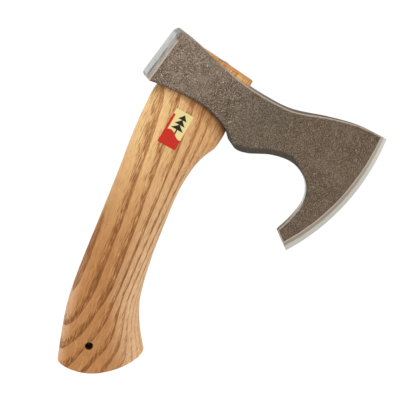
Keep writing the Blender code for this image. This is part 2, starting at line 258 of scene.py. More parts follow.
def soft(x, table, width):
    """Linear interpolation in a table, averaged over the width so that it has no corners."""
    xs, ys = np.array(table, float).T
    return np.mean([np.interp(x + width * k, xs, ys) for k in np.linspace(-0.5, 0.5, 9)], axis=0)


def smooth_step(x, low, high):
    t = np.clip((x - low) / (high - low), 0, 1)
    return t * t * (3 - 2 * t)


def head_to_world(points):
    """Points in the head's frame (U, Y, W) as hatchet points (X, Y, Z), in millimetres."""
    u, y, w = np.moveaxis(np.asarray(points, float), -1, 0)
    x = HEAD_AT[0] + u * HEAD_COS + w * HEAD_SIN
    return np.stack([x, y, HEAD_AT[2] - u * HEAD_SIN + w * HEAD_COS], -1)


def add_object(name, data):
    obj = bpy.data.objects.new(name, data)
    bpy.context.scene.collection.objects.link(obj)
    return obj


def add_piece(name, verts, faces, body="root"):
    """A mesh object from points in millimetres, riding on the body."""
    mesh = bpy.data.meshes.new(name)
    mesh.from_pydata((np.asarray(verts) * MM).tolist(), [], [list(map(int, f)) for f in faces])
    mesh.validate()
    work = bmesh.new()
    work.from_mesh(mesh)
    bmesh.ops.recalc_face_normals(work, faces=work.faces)
    work.to_mesh(mesh)
    work.free()
    obj = add_object(name, mesh)
    if body:
        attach(obj, body)
    return obj


def skin(loops):
    """Faces over stacked loops of equally many points, closed by a fan at each end."""
    count = len(loops[0])
    verts = np.vstack([*loops, loops[0].mean(0)[None], loops[-1].mean(0)[None]])
    i = np.arange(count)
    j = (i + 1) % count
    low = np.arange(len(loops) - 1)[:, None] * count
    quads = np.stack([low + i, low + j, low + count + j, low + count + i], -1).reshape(-1, 4)
    end, middle = (len(loops) - 1) * count, len(loops) * count
    fans = [(b, a, middle) for a, b in zip(i, j)] + [(end + a, end + b, middle + 1) for a, b in zip(i, j)]
    return verts, quads.tolist() + fans


def modify(obj, kind, **settings):
    """Gives the object a modifier with the settings."""
    modifier = obj.modifiers.new(kind.lower(), kind)
    for key, value in settings.items():
        setattr(modifier, key, value)


def cut(obj, cutters, operation="DIFFERENCE"):
    """Takes the closed cutters out of the object for good, or keeps what is inside them."""
    for cutter in cutters:
        modify(obj, "BOOLEAN", operation=operation, solver="EXACT", object=cutter)
    graph = bpy.context.evaluated_depsgraph_get()
    mesh = bpy.data.meshes.new_from_object(obj.evaluated_get(graph))
    obj.modifiers.clear()
    obj.data = mesh
    for cutter in cutters:
        bpy.data.objects.remove(cutter, do_unlink=True)


def points_of(obj):
    """The mesh's points in millimetres."""
    flat = np.empty(len(obj.data.vertices) * 3, np.float32)
    obj.data.vertices.foreach_get("co", flat)
    return flat.reshape(-1, 3).astype(float) / MM


def set_attributes(obj, **columns):
    """Gives each point of the mesh its value of each name."""
    for name, values in columns.items():
        attribute = obj.data.attributes.new(name, "FLOAT", "POINT")
        attribute.data.foreach_set("value", np.asarray(values, np.float32))


def shade(obj, angle):
    obj.data.shade_smooth()
    obj.data.set_sharp_from_angle(angle=math.radians(angle))


def noise_at(points, size, seed):
    """Smooth noise from -1 to 1 with features of about the size, in millimetres."""
    shift = Vector((seed * 7.3, seed * 3.1, seed * 5.7))
    return np.array([noise.noise(Vector(p) / size + shift) for p in points])


def section(back, front, half, count=SECTION_POINTS):
    """A flattened oval loop between two XZ points, and each point's place along it, -1 to 1."""
    angle = 2 * np.pi * np.arange(count) / count
    turn = np.stack([np.cos(angle), np.sin(angle)])
    along, across = np.sign(turn) * np.abs(turn) ** (2 / SECTION_POWER)
    back, front = np.asarray(back, float), np.asarray(front, float)
    xz = (back + front) / 2 + along[:, None] * (front - back) / 2
    return np.stack([xz[:, 0], across * half, xz[:, 1]], 1), along


# -------- head

def distance_to_line(points, line):
    """Shortest distance from each 2D point to a polyline."""
    best = np.full(len(points), np.inf)
    for a, b in zip(line, line[1:]):
        d = b - a
        t = np.clip(((points - a) @ d) / max(d @ d, 1e-9), 0, 1)
        best = np.minimum(best, np.hypot(*(points - a - t[:, None] * d).T))
    return best


def head_lines():
    """The top and bottom side outlines as fine polylines in (U, W)."""
    top = fair(HEAD_TOP)
    bottom = np.vstack([fair(HEAD_BOTTOM), np.linspace(HEAD_BOTTOM[-1], HEEL, 24)[1:]])
    extra = np.array(HEEL) + (np.array(HEEL) - np.array(HEAD_BOTTOM[-1])) * 0.2
    return top, np.vstack([bottom, extra])


def on_radius(line, radius):
    """Where the outline in front of the eye crosses each radius about EDGE_CENTRE."""
    far = line[line[:, 0] > ARC_FRONT_OF]
    reach = np.hypot(*(far - EDGE_CENTRE).T)
    keep = np.maximum.accumulate(reach) <= reach
    return np.stack([np.interp(radius, reach[keep], far[keep, i]) for i in (0, 1)], 1)


def arc_points(start, end, t):
    """Points from start to end with radius and angle about EDGE_CENTRE both interpolated."""
    a, b = start - EDGE_CENTRE, end - EDGE_CENTRE
    angle = np.arctan2(a[1], a[0]) * (1 - t) + np.arctan2(b[1], b[0]) * t
    radius = np.hypot(*a) * (1 - t) + np.hypot(*b) * t
    return np.array(EDGE_CENTRE) + radius[:, None] * np.stack([np.cos(angle), np.sin(angle)], 1)


def bottom_at(u, bottom):
    """Height W of the bottom outline at U, where it still goes forward."""
    return np.interp(u, *bottom[bottom[:, 0] < BOTTOM_FORWARD_TO].T)


def arc_rows(top, bottom):
    """Pairs of outline points on arcs round EDGE_CENTRE, up to the edge."""
    fine = np.linspace(ARC_START, EDGE_RADIUS, 4000)
    tops, bottoms = on_radius(top, fine), on_radius(bottom, fine)
    move = np.maximum(np.hypot(*np.diff(tops, axis=0).T), np.hypot(*np.diff(bottoms, axis=0).T))
    along = np.concatenate([[0], np.cumsum(np.minimum(move, 0.2))])
    bevel_rows = np.linspace(EDGE_RADIUS - BEVEL_ZONE, EDGE_RADIUS, BEVEL_ROWS)
    radii = np.interp(np.arange(0, along[-1], ROW_STEP), along, fine)
    radii = np.concatenate([radii[radii < bevel_rows[0] - 0.3], bevel_rows])
    return list(zip(on_radius(top, radii), on_radius(bottom, radii), np.ones(len(radii))))


def head_rows(top, bottom):
    """Pairs of outline points, poll to edge, and how far each row bends into an arc."""
    arcs = arc_rows(top, bottom)
    first_top, first_bottom, _ = arcs[0]
    count = int((first_top[0] - HEAD_TOP[0][0]) / ROW_STEP)
    rows = []
    for k in range(count):
        v = k / count
        u_top = HEAD_TOP[0][0] * (1 - v) + first_top[0] * v
        u_bottom = HEAD_BOTTOM[0][0] * (1 - v) + first_bottom[0] * v
        rows.append((np.array([u_top, np.interp(u_top, *top.T)]),
                     np.array([u_bottom, bottom_at(u_bottom, bottom)]), v))
    return rows + arcs


def outline_slope(rows, k, end):
    """Sine of the angle between a row and the outline that it ends on."""
    before, after = rows[max(k - 1, 0)][end], rows[min(k + 1, len(rows) - 1)][end]
    edge = (after - before) / max(np.hypot(*(after - before)), 1e-6)
    across = rows[k][1] - rows[k][0]
    across = across / np.hypot(*across)
    return max(abs(edge[0] * across[1] - edge[1] * across[0]), 0.25)


def half_thickness(points):
    """The head's half thickness before its edges are broken and the bevel ground."""
    radius = np.hypot(*(points - np.array(EDGE_CENTRE)).T)
    plan = soft(points[:, 0], PLAN, 10)
    lens = soft(radius, LENS, 8)
    h = np.clip(0.5 + 0.5 * (lens - plan) / PLAN_BLEND, 0, 1)
    return lens * (1 - h) + plan * h - PLAN_BLEND * h * (1 - h) / 2


def bevel_half(points):
    """Half thickness that the ground bevel leaves, and how far inside the bevel a point is."""
    offset = points - np.array(EDGE_CENTRE)
    from_edge = EDGE_RADIUS - np.hypot(*offset.T)
    width = soft(np.degrees(np.arctan2(offset[:, 1], offset[:, 0])), BEVEL, 6)
    t = from_edge / width
    inside = np.clip(t, 0, 1)
    grown = BEVEL_CURVE[0] * inside - BEVEL_CURVE[1] * inside ** 2
    return np.where(t < 1, EDGE_HALF + (BEVEL_HALF - EDGE_HALF) * grown, 99), t


def side_points(rows, k, top_round):
    """A row's points from the top outline to the bottom one, closest together at the edges."""
    start, end, bend = rows[k]
    length = np.hypot(*(end - start))
    near = top_round * RIM_STEPS / outline_slope(rows, k, 0)
    far = LOW_ROUND * RIM_STEPS / outline_slope(rows, k, 1)
    middle = np.linspace(near[-1], length - far[-1], SIDE_POINTS - 2 * len(RIM_STEPS) + 2)[1:-1]
    t = np.concatenate([near, middle, length - far[::-1]]) / length
    straight = start + (end - start) * t[:, None]
    return straight + (arc_points(start, end, t) - straight) * bend


def strip_points(point, half):
    """Points across a narrow face, between the two cheeks."""
    across = np.linspace(-1, 1, STRIP_POINTS + 2)[1:-1]
    return np.stack([np.full(STRIP_POINTS, point[0]), across * half, np.full(STRIP_POINTS, point[1])], 1)


def head_loop(rows, k, top, bottom):
    """A closed loop round the head, and its masks: depth under the top, under the bottom, and strip."""
    top_round = float(soft(rows[k][0][0], TOP_ROUND, 8))
    points = side_points(rows, k, top_round)
    from_top = distance_to_line(points, top[::3])
    from_low = distance_to_line(points, bottom[::3])
    full = np.minimum(half_thickness(points), bevel_half(points)[0])
    half = full - np.maximum(eased(from_top, np.minimum(top_round, 0.6 * full)),
                             eased(from_low, np.minimum(LOW_ROUND, 0.6 * full)))
    side = np.stack([points[:, 0], -half, points[:, 1]], 1)
    other = side[::-1] * [1, -1, 1]
    loop = np.vstack([side, strip_points(points[-1], half[-1]), other, strip_points(points[0], -half[0])])
    none = np.zeros(STRIP_POINTS)
    masks = (np.concatenate([from_top, none + FAR, from_top[::-1], none]),
             np.concatenate([from_low, none, from_low[::-1], none + FAR]),
             np.concatenate([0 * from_top, none + 1, 0 * from_top, none + 1]))
    return loop, masks


def forge(verts, quiet):
    """Moves the cheeks in and out by the forged waves, except where it is quiet (0)."""
    wave = sum(height * noise_at(verts, size, seed) for height, size, seed in WAVES)
    verts[:, 1] += (wave - WAVE_SET_IN) * quiet * np.sign(verts[:, 1])


def build_head():
    top, bottom = head_lines()
    rows = head_rows(top, bottom)
    loops, masks = zip(*[head_loop(rows, k, top, bottom) for k in range(len(rows))])
    poll, poll_values = poll_loops(loops[0])
    lip = loops[-1] + np.array([math.cos(EDGE_LIP_LEAN), 0, math.sin(EDGE_LIP_LEAN)]) * EDGE_LIP
    lip[:, 1] *= EDGE_LIP_THIN
    verts, faces = skin([*poll, *loops, lip])
    count = len(loops[0])
    before, after = len(poll) * count, count + 2
    top_rim, low_rim, strip = [np.concatenate([np.full(before, fill), *mask, np.full(after, fill)])
                               for mask, fill in zip(zip(*masks), (FAR, FAR, 0.0))]
    bevel = bevel_half(verts[:, [0, 2]])[1]
    poll_mask = np.concatenate([np.repeat(poll_values, count), np.full(len(verts) - before, FAR)])
    # The last point but one is the middle of the poll.
    poll_mask[-2] = 0
    quiet = smooth_step(np.minimum(top_rim, low_rim), 0.3, 3.0) * smooth_step(bevel, 1.0, 1.8)
    forge(verts, quiet * (poll_mask > 3) * (np.abs(verts[:, 1]) > 0.6))
    head = add_piece("forged_head", head_to_world(verts), faces)
    set_attributes(head, top_rim=top_rim, low_rim=low_rim, strip=strip, bevel=bevel, poll=poll_mask,
                   along=verts[:, 0])
    cut(head, [eye_cutter()])
    shade(head, 38)
    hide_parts("axe_head")
    return head


def eased(depth, radius):
    """How much a rounded edge of the radius takes off at a depth inside the outline."""
    inside = np.clip(depth / radius, 0, 1)
    return radius * (1 - np.sqrt(1 - (1 - inside) ** 2))


def face_rim(first):
    """The first loop shrunk to the poll's face, in Y and W about its middle, with round corners."""
    half = np.array([FACE_HALF, (FACE_TOP[1] - FACE_BOTTOM[1]) / 2])
    low, high = first[:, 1:].min(0), first[:, 1:].max(0)
    reach = half * ((first[:, 1:] - (low + high) / 2) / ((high - low) / 2))
    over = np.abs(reach) - (half - FACE_CORNER)
    pull = FACE_CORNER / np.maximum(np.hypot(*over.T), FACE_CORNER)
    rounded = np.sign(reach) * (half - FACE_CORNER + over * pull[:, None])
    return np.where((over > 0).all(1, keepdims=True), rounded, reach)


def poll_loops(first):
    """Loops from the middle of the poll's face out to the first loop of the cheeks, and their mask."""
    lean = (FACE_TOP[0] - FACE_BOTTOM[0]) / (FACE_TOP[1] - FACE_BOTTOM[1])
    middle_w = (FACE_TOP[1] + FACE_BOTTOM[1]) / 2
    rim = face_rim(first)
    loops = []
    for k in FACE_RINGS:
        y, w = (rim * k).T
        w = middle_w + w
        u = FACE_BOTTOM[0] + lean * (w - FACE_BOTTOM[1]) - FACE_CROWN * (1 - k * k)
        loops.append(np.stack([u, y, w], 1))
    face = loops[-1]
    for k in CHAMFER_RINGS:
        loop = face * (1 - k) + first * k
        loop[:, 0] -= CHAMFER_BULGE * 4 * k * (1 - k)
        loops.append(loop)
    return loops, [*FACE_RINGS, *(1 + k for k in CHAMFER_RINGS)]


def eye_station(gap, w):
    """Back U, front U and half width of the eye at height W, drawn in by the gap."""
    t = (EYE_W[0] - w) / (EYE_W[0] - EYE_W[1])
    front = EYE_FRONT[0] + t * (EYE_FRONT[1] - EYE_FRONT[0])
    half = EYE_HALF[0] + t * (EYE_HALF[1] - EYE_HALF[0])
    return EYE_BACK + gap, front - gap, half - gap


def eye_loop(gap, w, count=SECTION_POINTS):
    """The eye's outline at height W, drawn in by the gap."""
    back, front, half = eye_station(gap, w)
    return head_to_world(section((back, w), (front, w), half, count)[0])


def eye_cutter():
    """The eye as a solid that runs out past the top and the foot of the cheeks."""
    loops = [eye_loop(EYE_GAP, w, EYE_CUT_POINTS) for w in np.linspace(-EYE_CUT_W, EYE_CUT_W, 25)]
    return add_piece("eye_cutter", *skin(loops), body=None)


# -------- handle

def station_in_world(back_u, front_u, w, half):
    back, front = head_to_world([(back_u, 0, w), (front_u, 0, w)])
    return (back[0], back[2], front[0], front[2], half)


def butt_depth(t):
    """How far the butt stands out of its chord, from its back (0) to its front (1)."""
    power = 1.0 - BUTT_FULLER_FRONT * smooth_step(t, 0.1, 0.6)
    arc = np.maximum(1 - np.abs(2 * t - 1) ** BUTT_ARC, 0) ** power
    bulge = arc * (1 - BUTT_FRONT_DROP * np.maximum(t - 0.45, 0))
    return BUTT_ENDS[0] * (1 - t) + BUTT_ENDS[1] * t + BUTT_BULGE * bulge


def butt_loops(station):
    """Loops from the middle of the butt's end out over its rounded rim."""
    back, front, half = station[:2], station[2:4], station[4]
    chord = front - back
    down = np.array([chord[1], -chord[0]]) / np.hypot(*chord)
    half_length = np.hypot(*chord) / 2

    def loop_at(inset, drop, shrink=1.0):
        scale = (half_length - inset) / half_length * shrink
        loop, along = section(back, front, (half - inset) * shrink)
        t = 0.5 + 0.5 * along * scale
        out = butt_depth(t) + drop
        xz = back + chord * t[:, None] + down * out[:, None]
        return np.stack([xz[:, 0], loop[:, 1], xz[:, 1]], 1)

    loops = [loop_at(BUTT_ROUND, 0, shrink) for shrink in BUTT_RINGS]
    for angle in np.radians((75, 60, 45, 30, 15, 0)):
        loops.append(loop_at(BUTT_ROUND * (1 - math.cos(angle)), -BUTT_ROUND * (1 - math.sin(angle))))
    return loops


def grip_loops(rows):
    """Loops up the grip, which straighten out of the butt's curve."""
    bend_rows = int(RINGS_PER_STATION * BUTT_FADE_STATIONS)
    loops = []
    for k, (bx, bz, fx, fz, half) in enumerate(rows[1:], 1):
        loop, along = section((bx, bz), (fx, fz), half)
        fade = max(1 - k / bend_rows, 0) ** BUTT_FADE_POWER
        if fade > 0:
            step = np.array([fz - bz, bx - fx]) / math.hypot(fx - bx, fz - bz)
            out = (butt_depth(0.5 + 0.5 * along) - BUTT_ROUND) * fade
            loop[:, [0, 2]] += step * out[:, None]
        loops.append(loop)
    return loops


def tenon_loops():
    """Loops up the tenon, over its eased rim and in to the middle of its top."""
    top = EYE_W[0]
    loops = [eye_loop(tenon_gap(w), w) for w in np.arange(EYE_W[1] + TENON_STEP, top - 0.6, TENON_STEP)]
    for inset, drop in TENON_RIM:
        loops.append(eye_loop(tenon_gap(top) + inset, top - drop))
    rim = loops[-1]
    for shrink in TENON_RINGS:
        loops.append(rim.mean(0) + (rim - rim.mean(0)) * shrink)
    return loops


def handle_loops():
    """Loops from the middle of the butt to the middle of the tenon's top."""
    back, front, half = eye_station(TENON_GAP, EYE_W[1])
    stations = STATIONS + [station_in_world(*SHOULDER), station_in_world(back, front, EYE_W[1], half)]
    rows = fair(stations, RINGS_PER_STATION)
    return butt_loops(rows[0]) + grip_loops(rows) + tenon_loops()


def tenon_gap(w):
    """The tenon is pared back a little more towards its top."""
    return TENON_GAP + TENON_TAPER * float(smooth_step(w, 4, 13))


def ring_number(points):
    """Which growth ring a point of the handle lies in, as a running number."""
    x, y, z = points.T
    x = x + RING_SLANT * (y + NEAR_SIDE) + 0.5 * noise_at(points * [1, 1, 0.25], 9.0, 11)
    heights = [z0 for z0, _ in RINGS]
    columns = [soft(z, list(zip(heights, line)), 9) for line in np.array([row for _, row in RINGS]).T]
    number = np.full(len(points), float(FIRST_RING))
    for k, (left, right) in enumerate(zip(columns, columns[1:])):
        part = np.clip((x - left) / (right - left), 0, 1)
        number = np.where(x >= left, FIRST_RING + k + part, number)
    return number


def under_head(points):
    """How far below the head's lower outline a point of the handle lies."""
    x, _, z = points.T
    u = (x - HEAD_AT[0]) * HEAD_COS - (z - HEAD_AT[2]) * HEAD_SIN
    w = (x - HEAD_AT[0]) * HEAD_SIN + (z - HEAD_AT[2]) * HEAD_COS
    below = bottom_at(u, head_lines()[1]) - w
    return np.where(w > INSIDE_EYE_W, 99, np.maximum(below, 0))


def turned_cutter(name, profile, at, count=48):
    """A closed turned solid about an axis along Y, from (y, radius) points."""
    angle = 2 * np.pi * np.arange(count) / count
    loops = [np.stack([at[0] + r * np.cos(angle), np.full(count, y), at[1] + r * np.sin(angle)], 1)
             for y, r in profile]
    return add_piece(name, *skin(loops), body=None)


def prism(name, outline, half_length, turn=0.0, u=0.0, body=None):
    """An outline of (Y, W) points drawn out both ways along U, turned about W, at U."""
    c, s = math.cos(turn), math.sin(turn)
    loops = []
    for end in np.linspace(-half_length, half_length, 9):
        loops.append(head_to_world([(u + end * c - y * s, end * s + y * c, w) for y, w in outline]))
    return add_piece(name, *skin(loops), body=body)


def wedge_outline(shape, grow=0.0, rise=1):
    """A wedge's cross section in Y and W, grown all round, and at its top by the rise times that."""
    top, half = shape["top"] + rise * grow, shape["top_half"] + grow
    foot, foot_half = shape["foot"] - grow, shape["foot_half"] + grow
    return [(-half, top), (half, top), (foot_half, foot), (-foot_half, foot)]


def steel_pocket():
    """The steel wedge's place, as a cutter that runs out past the tenon's top."""
    outline = wedge_outline(STEEL, POCKET_GAP, POCKET_RISE)
    return prism("pocket", outline, STEEL_HALF_WIDTH + POCKET_GAP, STEEL_TURN, STEEL_U)


def side_place(points):
    """Where each point lies from the grip's back line (0) to its front line (1)."""
    back_x, back_z, front_x, front_z, _ = np.array(STATIONS).T
    backs = np.interp(points[:, 2], back_z, back_x)
    fronts = np.interp(points[:, 2], front_z, front_x)
    return (points[:, 0] - backs) / (fronts - backs)


def build_handle():
    handle = add_piece("ash_handle", *skin(handle_loops()))
    drill = turned_cutter("lanyard_drill", LANYARD_PROFILE, LANYARD)
    cut(handle, [drill, prism("kerf", wedge_outline(KERF), KERF_REACH), steel_pocket()])
    points = points_of(handle)
    rings = ring_number(points)
    set_attributes(handle, ring=rings, band=soft(rings, RING_BAND, 0.6),
                   depth=soft(rings, RING_DEPTH, 0.8), under=under_head(points), side=side_place(points))
    shade(handle, 35)
    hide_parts("handle")
    return handle


def build_wooden_wedge():
    """The wedge in the kerf, cut to the tenon's oval and a little proud of it."""
    wedge = prism("cut_wedge", wedge_outline(KERF, -WEDGE_GAP, 0), KERF_REACH, body="root")
    heights = np.linspace(-40, EYE_W[0] + WEDGE_PROUD, 40)
    oval = skin([eye_loop(tenon_gap(w) + WEDGE_OVAL_GAP, w) for w in heights])
    cut(wedge, [add_piece("oval_limit", *oval, body=None)], "INTERSECT")
    cut(wedge, [steel_pocket()])
    ease(wedge, 0.25)
    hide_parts("wooden_wedge")
    return wedge


def build_steel_wedge():
    steel = prism("driven_wedge", wedge_outline(STEEL), STEEL_HALF_WIDTH, STEEL_TURN, STEEL_U, body="root")
    ease(steel, 0.35)
    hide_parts("steel_wedge")
    return steel


def ease(obj, width):
    """Rounds the object's edges a little."""
    modify(obj, "BEVEL", width=width * MM, segments=3, limit_method="ANGLE", angle_limit=math.radians(40))
    shade(obj, 40)


# -------- label

def label_sheet():
    """The label flat and off the wood: its points, faces, and each point's U and V on it."""
    columns, rows = LABEL_GRID
    u, v = np.meshgrid(np.linspace(0, 1, columns + 1), np.linspace(0, 1, rows + 1))
    u, v = u.ravel(), v.ravel()
    across, up = (u - 0.5) * LABEL_SIZE[0], (v - 0.5) * LABEL_SIZE[1]
    c, s = math.cos(LABEL_TILT), math.sin(LABEL_TILT)
    x = LABEL_AT[0] + across * c + up * s
    z = LABEL_AT[1] - across * s + up * c
    corners = np.arange(rows * (columns + 1)).reshape(rows, -1)[:, :-1].reshape(-1, 1)
    faces = corners + [0, 1, columns + 2, columns + 1]
    return np.stack([x, np.full(len(x), LABEL_START_Y), z], 1), faces, u, v


def build_label(handle):
    """A paper rectangle pressed onto the near side of the handle."""
    verts, faces, u, v = label_sheet()
    label = add_piece("paper_label", verts, faces)
    set_attributes(label, label_u=u, label_v=v)
    modify(label, "SHRINKWRAP", target=handle, wrap_method="PROJECT", use_project_y=True,
           use_positive_direction=True, offset=LABEL_LIFT * MM)
    modify(label, "SOLIDIFY", thickness=LABEL_THICKNESS * MM, offset=1.0)
    label.data.shade_smooth()
    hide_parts("label")
    return label


# -------- materials

class Tree:
    """A material's node tree, with a short call for each kind of node that it uses."""

    def __init__(self, name, **shader):
        self.material = bpy.data.materials.new(name)
        self.material.use_nodes = True
        self.tree = self.material.node_tree
        self.shader = self.tree.nodes["Principled BSDF"].inputs
        for key, value in shader.items():
            self.put(self.shader[key.replace("_", " ")], value)
        self.place = self.node("ShaderNodeTexCoord", {}, "Object")

    def put(self, socket, value):
        if isinstance(value, bpy.types.NodeSocket):
            self.tree.links.new(value, socket)
        elif isinstance(value, tuple) and socket.type == "RGBA":
            socket.default_value = (*value, 1.0)
        else:
            socket.default_value = value

    def node(self, kind, inputs, output=0, **settings):
        """Adds a node, its inputs and its output given by name or number, and returns that output."""
        made = self.tree.nodes.new(kind)
        for key, value in settings.items():
            setattr(made, key, value)
        for key, value in inputs.items():
            self.put(made.inputs[key], value)
        return made.outputs[output]

    def math(self, operation, a, b=0.0, clamp=False):
        return self.node("ShaderNodeMath", {0: a, 1: b}, operation=operation, use_clamp=clamp)

    def times(self, a, b):
        return self.math("MULTIPLY", a, b)

    def plus(self, a, b):
        return self.math("ADD", a, b)

    def minus(self, a, b):
        return self.math("SUBTRACT", a, b)

    def swing(self, value, size):
        """A value from 0 to 1 moved to lie about zero, over the size from end to end."""
        return self.times(self.minus(value, 0.5), size)

    def fading(self, value, reach):
        """1 where the value is zero, falling to 0 where it is the reach."""
        return self.math("SUBTRACT", 1.0, self.math("DIVIDE", value, reach), clamp=True)

    def attribute(self, name):
        return self.node("ShaderNodeAttribute", {}, "Fac", attribute_name=name)

    def noise(self, scale, detail=2.0, roughness=0.5, vector=None, distortion=0.0):
        inputs = {"Vector": vector or self.place, "Scale": scale, "Detail": detail,
                  "Roughness": roughness, "Distortion": distortion}
        return self.node("ShaderNodeTexNoise", inputs, "Fac")

    def band(self, value, low, high, start=0.0, end=1.0):
        """Value mapped smoothly from low..high to start..end, clamped."""
        inputs = {"Value": value, "From Min": low, "From Max": high, "To Min": start, "To Max": end}
        return self.node("ShaderNodeMapRange", inputs, "Result", interpolation_type="SMOOTHSTEP")

    def mix(self, factor, a, b, blend="MIX"):
        return self.node("ShaderNodeMix", {0: factor, 6: a, 7: b}, 2, data_type="RGBA", blend_type=blend)

    def mix_value(self, factor, a, b):
        return self.node("ShaderNodeMix", {0: factor, 2: a, 3: b}, data_type="FLOAT")

    def layer(self, under, over, value, low, high, most=1.0):
        """The under colour with the over one on it, as the value goes from low to high."""
        return self.mix(self.band(value, low, high, 0.0, most), under, over)

    def darker(self, colour, by):
        return self.mix(1.0, colour, by, "MULTIPLY")

    def scaled(self, *scale):
        return self.node("ShaderNodeVectorMath", {0: self.place, 1: scale}, operation="MULTIPLY")

    def axes(self):
        return [self.node("ShaderNodeSeparateXYZ", {0: self.place}, axis) for axis in "XYZ"]

    def join(self, x, y, z):
        return self.node("ShaderNodeCombineXYZ", {0: x, 1: y, 2: z})

    def done(self, colour, rough, height, distance, strength):
        """Gives the shader its colour, roughness and bump, and returns the material."""
        bump = self.node("ShaderNodeBump", {"Height": height, "Distance": distance, "Strength": strength})
        for key, value in (("Base Color", colour), ("Roughness", rough), ("Normal", bump)):
            self.put(self.shader[key], value)
        return self.material


# -------- steel

def forged_cheek(m):
    """Scale in slow patches and fine speckle, with clumps, light scars and pits towards the poll."""
    fine = m.band(m.along, 8, 48)
    coarse = m.minus(1.0, m.times(fine, 0.75))
    patch = m.noise(50, 4, 0.62)
    cloud = m.noise(190, 4, 0.65)
    scar = m.noise(620, 2, 0.55, distortion=0.8)
    scratch = m.noise(1.0, 2, 0.6, m.scaled(2600, 1400, 420), 0.5)
    dark = m.mix(fine, (0.116, 0.081, 0.054), (0.134, 0.094, 0.063))
    pale = m.mix(fine, (0.208, 0.154, 0.107), (0.186, 0.134, 0.091))
    cheek = m.layer(dark, pale, patch, 0.36, 0.64)
    cheek = m.layer(cheek, (0.092, 0.063, 0.041), cloud, 0.42, 0.60, 0.6)
    # Painted shade, darker towards the heel. Greener round the neck, partly the steel's own tone and partly
    # painted shade in the neck's hollow.
    shade_to_heel = m.minus(m.times(m.along, 0.5), m.times(m.z, 400))
    cheek = m.layer(cheek, m.darker(cheek, (0.665, 0.635, 0.595)), shade_to_heel, -60, 0)
    from_neck = m.math("ABSOLUTE", m.minus(m.plus(m.along, m.times(patch, 20)), NECK_U))
    cheek = m.mix(m.band(from_neck, 6, 26, 0.4, 0.0), cheek, (0.090, 0.086, 0.058))
    light = m.mix(fine, (0.48, 0.380, 0.295), (0.315, 0.235, 0.165))
    deep = m.mix(fine, (0.018, 0.012, 0.008), (0.066, 0.045, 0.029))
    cheek = m.layer(cheek, light, m.speckle, 0.51, 0.60, 0.70)
    cheek = m.layer(cheek, deep, m.speckle, 0.47, 0.38, 0.74)
    marks = ((m.clump, 0.43, 0.35, 0.5, (0.045, 0.033, 0.024)),
             (m.clump, 0.58, 0.66, 0.35, (0.42, 0.34, 0.27)),
             (scar, 0.685, 0.715, 0.9, (0.62, 0.54, 0.46)),
             (scar, 0.315, 0.285, 0.9, (0.018, 0.013, 0.010)))
    for value, low, high, most, colour in marks:
        cheek = m.mix(m.times(m.band(value, low, high, 0.0, most), coarse), cheek, colour)
    return m.layer(cheek, (0.40, 0.325, 0.25), scratch, 0.60, 0.68, 0.5)


def cheek_rims(m, cheek):
    """The cheek with a painted highlight line along its top, and dark scale along its bottom that gives way
    to a painted highlight on the beard's arm, and that scale.
    """
    ragged = m.swing(m.noise(500, 3), 1.2)
    # Painted highlight: a light line along the rounded top edge.
    line = m.band(m.plus(m.attribute("top_rim"), ragged), 0.9, 0.5)
    line = m.times(line, m.band(m.along, -8, 12))
    cheek = m.mix(m.times(line, 0.7), cheek, (0.50, 0.405, 0.31))
    # The scale is widest under the neck, and gives way to a painted highlight on the beard's arm, light
    # caught from below.
    under_neck = m.times(m.band(m.along, 36, 42), m.band(m.along, 90, 76))
    width = m.plus(0.7, m.times(under_neck, 3.4))
    past = m.minus(m.plus(m.low_rim, m.times(ragged, 1.2)), width)
    scale = m.band(m.plus(past, m.swing(m.speckle, 4.0)), 0.9, -0.7)
    arm = m.times(m.band(m.along, 88, 96), m.band(m.z, 0.046, 0.034))
    scale = m.times(scale, m.minus(1.0, arm))
    black = m.mix(m.speckle, (0.020, 0.018, 0.013), (0.095, 0.085, 0.066))
    cheek = m.mix(m.times(scale, 0.85), cheek, black)
    # Painted highlight along the beard's lower rim.
    arm_highlight = m.times(arm, m.band(m.plus(m.low_rim, ragged), 1.1, 0.5))
    return m.mix(m.times(arm_highlight, 0.75), cheek, (0.46, 0.355, 0.275)), scale


def narrow_faces(m):
    """The faces round the outline: brown at the poll, dark along the blade, dark underneath, partly scale
    and partly painted shade, and in the beard a painted reflection that is lighter towards the top.
    """
    top_face = m.layer((0.20, 0.145, 0.102), (0.052, 0.045, 0.032), m.along, 20, 50)
    top_face = m.layer(top_face, (0.24, 0.20, 0.15), m.speckle, 0.52, 0.62, 0.5)
    # Painted reflection of light from below on the beard's inner face, lighter towards the top.
    beard_reflection = m.layer((0.085, 0.080, 0.070), (0.56, 0.56, 0.53), m.z, 0.018, 0.046)
    # Dark underneath behind the beard: partly scale, partly painted shade.
    low_face = m.layer((0.045, 0.038, 0.029), beard_reflection, m.along, 74, 88)
    low_face = m.layer(low_face, (0.10, 0.09, 0.075), m.speckle, 0.47, 0.38, 0.6)
    return m.layer(low_face, top_face, m.low_rim, 4.0, 8.0)


def ground_edge(m):
    """The bevel, with a beige inner line, a duller inner band and a bright outer one, both painted lighter
    towards the top as light from above, and its mask.
    """
    wander = m.plus(m.attribute("bevel"), m.swing(m.noise(220, 3), 0.12))
    # Painted light: the bevel is lighter towards the top.
    high = m.band(m.z, 0.045, 0.105)
    bright = m.mix(high, m.mix(m.brushed, (0.40, 0.38, 0.33), (0.54, 0.52, 0.47)),
                   m.mix(m.brushed, (0.50, 0.48, 0.43), (0.63, 0.61, 0.57)))
    dull = m.mix(high, (0.26, 0.225, 0.175), (0.36, 0.325, 0.265))
    edge = m.layer(bright, dull, wander, 0.44, 0.62)
    edge = m.layer(edge, (0.46, 0.375, 0.29), wander, 0.83, 0.92)
    return m.mix(m.strip, edge, (0.12, 0.115, 0.095)), m.band(wander, 1.02, 0.98)


